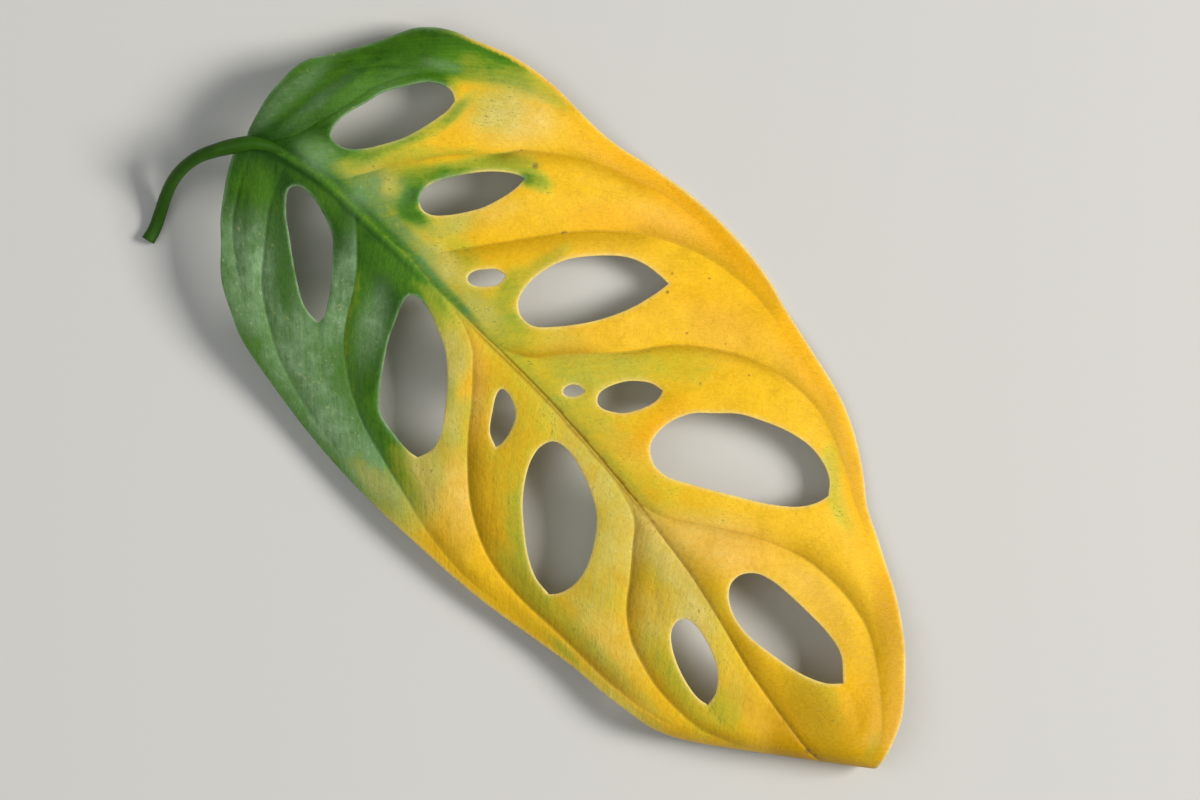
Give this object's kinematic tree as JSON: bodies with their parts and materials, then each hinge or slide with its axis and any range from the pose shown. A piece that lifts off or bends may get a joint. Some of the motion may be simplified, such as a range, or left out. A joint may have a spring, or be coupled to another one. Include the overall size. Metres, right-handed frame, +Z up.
{
  "type": "monstera leaf",
  "caption": "Picked monstera leaf with closed holes between its side veins, a waved margin, a bent-under tip and a short curved stalk, turning from green to yellow.",
  "frame": {"origin": "middle of the leaf's bounding box in plan, on the surface it lies on", "axes": "+X from the blade's base to its tip along the midrib, +Y across the blade to its wider side, +Z up from the surface, with the leaf lying face up"},
  "size_m": [0.1846, 0.0896, 0.0176],
  "materials": {
    "leaf": "satin"
  },
  "bodies": {
    "root": {"monstera_leaf": "leaf"}
  },
  "joints": []
}
